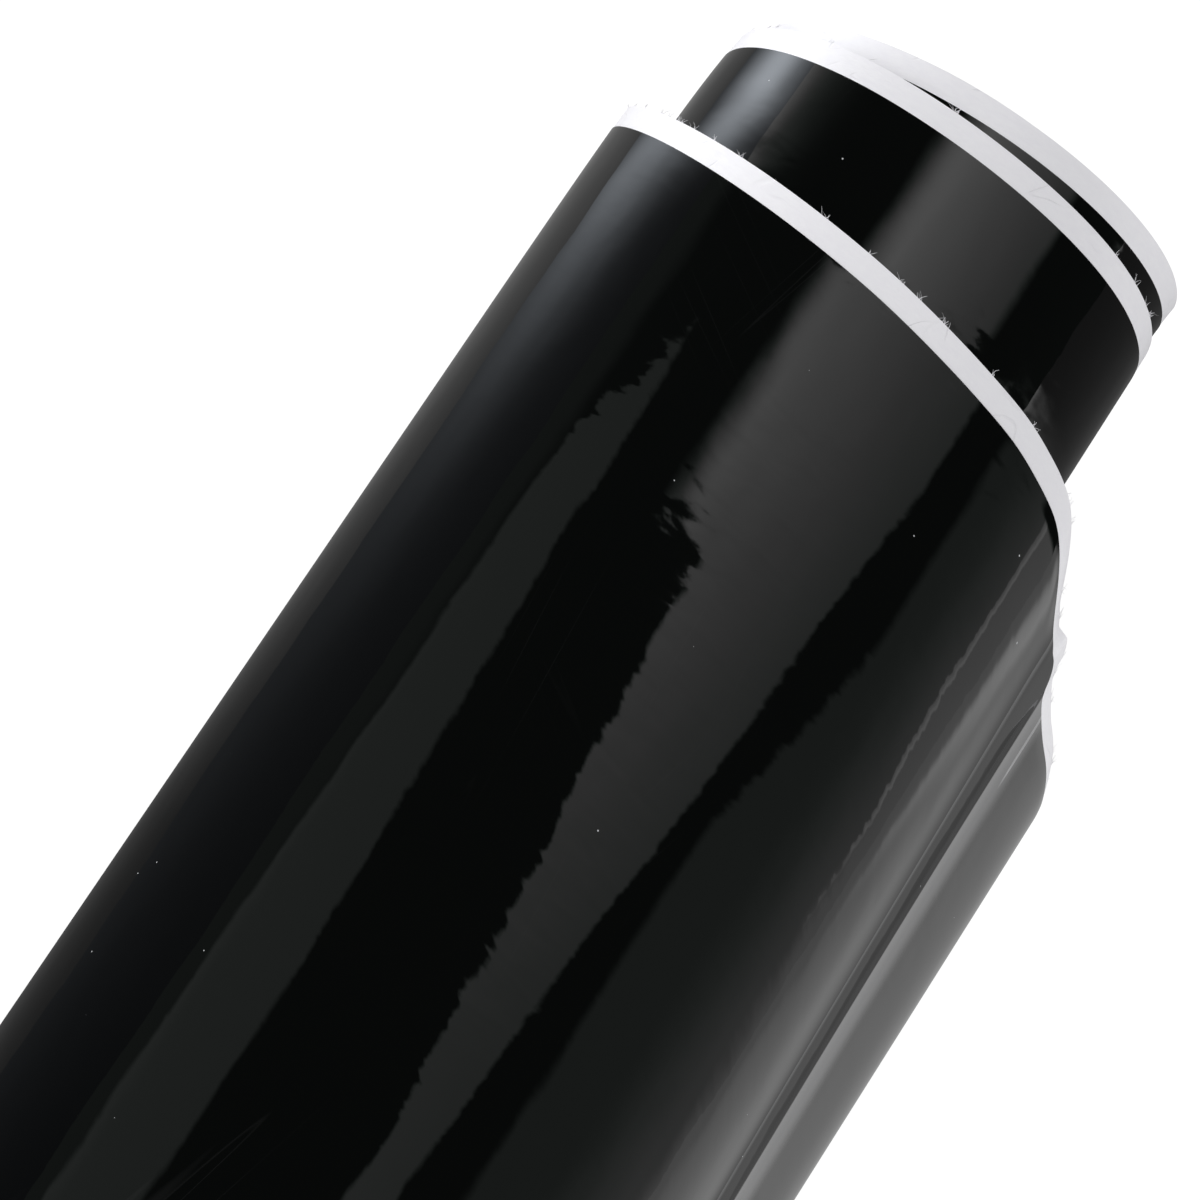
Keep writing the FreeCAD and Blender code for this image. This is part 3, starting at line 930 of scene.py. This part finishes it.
def floor_material():
    """White floor that glows, so that the roll's shadow stays faint. It is clear from below."""
    own_glow, grey = 0.93, (0.20, 0.20, 0.20, 1)
    material, sh = new_material("floor")
    geometry = sh.node("ShaderNodeNewGeometry")
    x, y, _ = sh.parts(geometry.outputs["Position"])
    lit = sh.node("ShaderNodeBsdfDiffuse", {"Color": grey})
    own = sh.node("ShaderNodeEmission", {"Color": WHITE, "Strength": own_glow})
    seen = sh.node("ShaderNodeAddShader", {0: lit.outputs[0], 1: own.outputs[0]})
    mirrored = sh.node("ShaderNodeEmission", {"Strength": floor_mirrored(sh, x, y)})
    path = sh.node("ShaderNodeLightPath")
    mix = sh.mix_shader(path.outputs["Is Glossy Ray"], seen.outputs[0], mirrored.outputs[0])
    clear = sh.node("ShaderNodeBsdfTransparent")
    sh.surface(sh.mix_shader(geometry.outputs["Backfacing"], mix, clear.outputs[0]))
    return material


def flat_plane(name, corners, material):
    mesh = bpy.data.meshes.new(name)
    mesh.from_pydata(corners, [], [(0, 1, 2, 3)])
    mesh.materials.append(material)
    obj = bpy.data.objects.new(name, mesh)
    bpy.context.scene.collection.objects.link(obj)
    return obj


def glow_material():
    """Card whose glow grows towards +X and stands higher there."""
    brightest, full_from, falloff, height = 5.0, 0.193, 30.0, 0.032
    material, sh = new_material("glow_card")
    geometry = sh.node("ShaderNodeNewGeometry")
    x, _, z = sh.parts(geometry.outputs["Position"])
    inward = sh.sub(sh.math("MINIMUM", x, full_from), full_from)
    along = sh.exp(sh.times(inward, falloff))
    middle = sh.ramp(x, 0.150, 0.185, -0.008, 0.030)
    away = sh.math("DIVIDE", sh.sub(z, middle), height)
    upright = sh.exp(sh.times(away, away, -0.5))
    glow = sh.add(sh.times(along, upright, brightest), sh.ramp(x, -0.15, 0.10, 0.06, 0.11))
    shine = sh.node("ShaderNodeEmission", {"Color": COOL_WHITE, "Strength": glow})
    sh.surface(shine.outputs[0])
    return material


def build_stage():
    """Floor under the roll, and a glowing card on its +Y side that only reflections see."""
    level = (TABLE - 0.02) * MM
    reach = 6.0
    around = ((-reach, -reach), (reach, -reach), (reach, reach), (-reach, reach))
    corners = [(x, y, level) for x, y in around]
    flat_plane("floor", corners, floor_material())
    side, top, half = 0.18, 0.09, 0.6
    corners = [(-half, side, level), (half, side, level), (half, side, top), (-half, side, top)]
    card = flat_plane("glow_card", corners, glow_material())
    card.visible_camera = False
    card.visible_diffuse = False
    card.visible_shadow = False
    card.visible_transmission = False


def build_lights():
    """One broad key light, low on the +Y side; the gloss does not mirror it."""
    lamp = bpy.data.lights.new("key", "AREA")
    lamp.shape = "RECTANGLE"
    lamp.size = 0.9
    lamp.size_y = 0.5
    lamp.energy = 3.6
    key = bpy.data.objects.new("key", lamp)
    key.location = (0.30, 0.80, 0.22)
    key.rotation_euler = (-key.location).to_track_quat("-Z", "Y").to_euler()
    key.visible_glossy = False
    bpy.context.scene.collection.objects.link(key)


def build_camera():
    """Long lens, high over the roll, turned so that the roll runs up to the right."""
    azimuth, elevation = math.radians(-56.97), math.radians(78.94)
    distance = 0.6362
    target = np.array([0.0473, 0.0125, 0.0])
    back = np.array([
        math.sin(azimuth) * math.cos(elevation),
        -math.cos(azimuth) * math.cos(elevation),
        math.sin(elevation),
    ])
    data = bpy.data.cameras.new("camera")
    data.lens = 99.6
    data.sensor_width = 36.0
    camera = bpy.data.objects.new("camera", data)
    camera.location = target + back * distance
    camera.rotation_euler = (math.pi / 2 - elevation, 0, azimuth)
    bpy.context.scene.collection.objects.link(camera)
    bpy.context.scene.camera = camera


bpy.context.scene.view_settings.view_transform = "Standard"
build_strip()
dress_cad_nodes()
studio_world()
build_stage()
build_lights()
build_camera()
